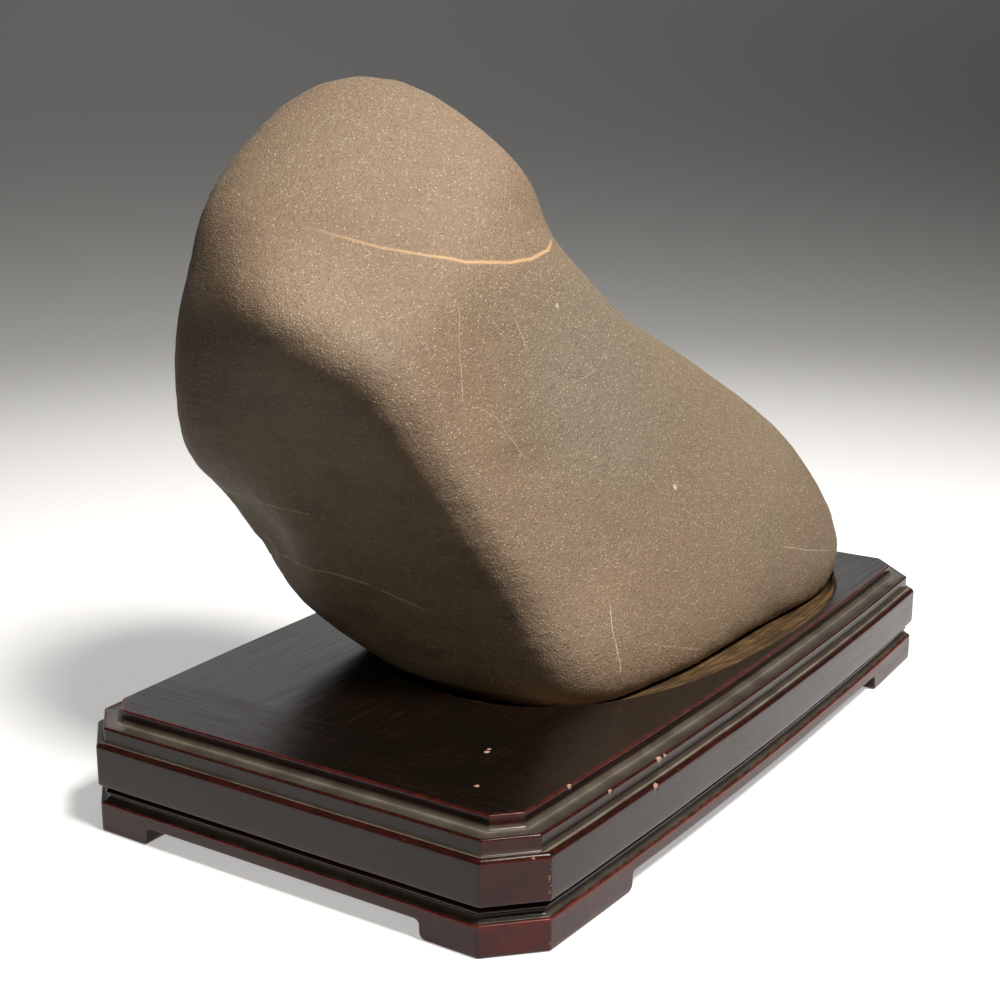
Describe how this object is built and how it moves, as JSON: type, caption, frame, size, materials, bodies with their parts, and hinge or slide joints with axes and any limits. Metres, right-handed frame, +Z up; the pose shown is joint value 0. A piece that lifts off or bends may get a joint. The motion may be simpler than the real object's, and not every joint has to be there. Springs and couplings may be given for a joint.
{
  "type": "scholar's rock on a wooden stand",
  "caption": "Water-worn scholar's rock with a domed head and an undercut end, standing in a socket carved in a low moulded rosewood stand on bracket feet.",
  "frame": {"origin": "bottom centre of the stand, on the surface that its feet stand on", "axes": "+X along the stand's long side, away from the stone's undercut end; +Y to the stand's back; +Z up"},
  "size_m": [0.5, 0.291, 0.3749],
  "materials": {
    "sandstone": "water-worn satin sandstone with fine grain and thin tan veins",
    "rosewood_lacquer": "gloss dark red-black lacquer, raw wood in the socket",
    "waist_lacquer": "gloss black-red lacquer",
    "foot_lacquer": "gloss dark red lacquer"
  },
  "bodies": {
    "root": {"stone": "sandstone", "top_board": "rosewood_lacquer", "waist_moulding": "waist_lacquer", "foot_frame": "foot_lacquer"}
  },
  "joints": []
}
